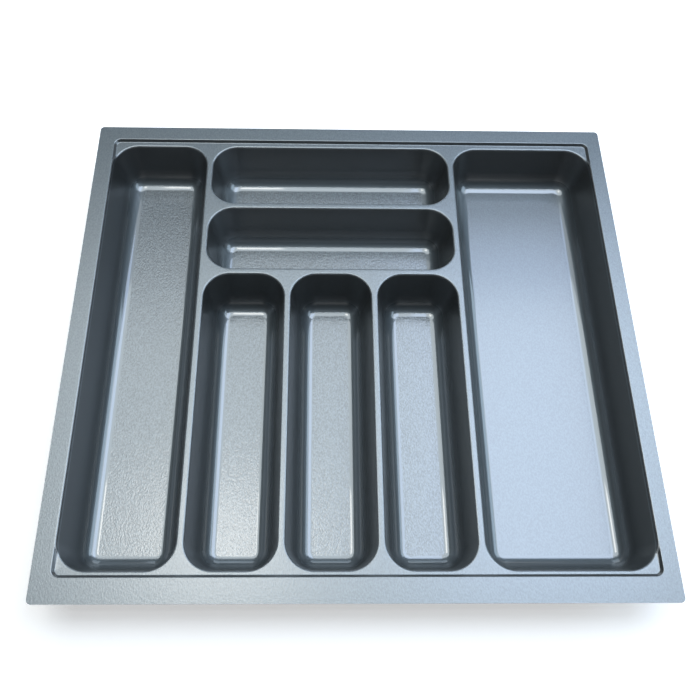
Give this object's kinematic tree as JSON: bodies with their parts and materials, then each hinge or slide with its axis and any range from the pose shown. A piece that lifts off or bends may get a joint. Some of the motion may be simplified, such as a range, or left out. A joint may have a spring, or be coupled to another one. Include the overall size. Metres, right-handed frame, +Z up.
{
  "type": "cutlery tray",
  "caption": "Silver-grey vacuum-formed cutlery tray for a kitchen drawer, with a flat trim border and lengthwise and crosswise compartments.",
  "frame": {"origin": "centre of the tray's outline, on the plane under the compartment floors", "axes": "+X to the right along the width, towards the wide compartment; +Y to the back of the drawer; +Z up"},
  "size_m": [0.54, 0.5, 0.051],
  "materials": {
    "silver_plastic": "satin metallic grey with a fine pebble grain"
  },
  "bodies": {
    "root": {"border_rim": "silver_plastic", "left_long_compartment": "silver_plastic", "rear_cross_compartment": "silver_plastic", "middle_cross_compartment": "silver_plastic", "left_cutlery_compartment": "silver_plastic", "middle_cutlery_compartment": "silver_plastic", "right_cutlery_compartment": "silver_plastic", "wide_right_compartment": "silver_plastic"}
  },
  "joints": []
}
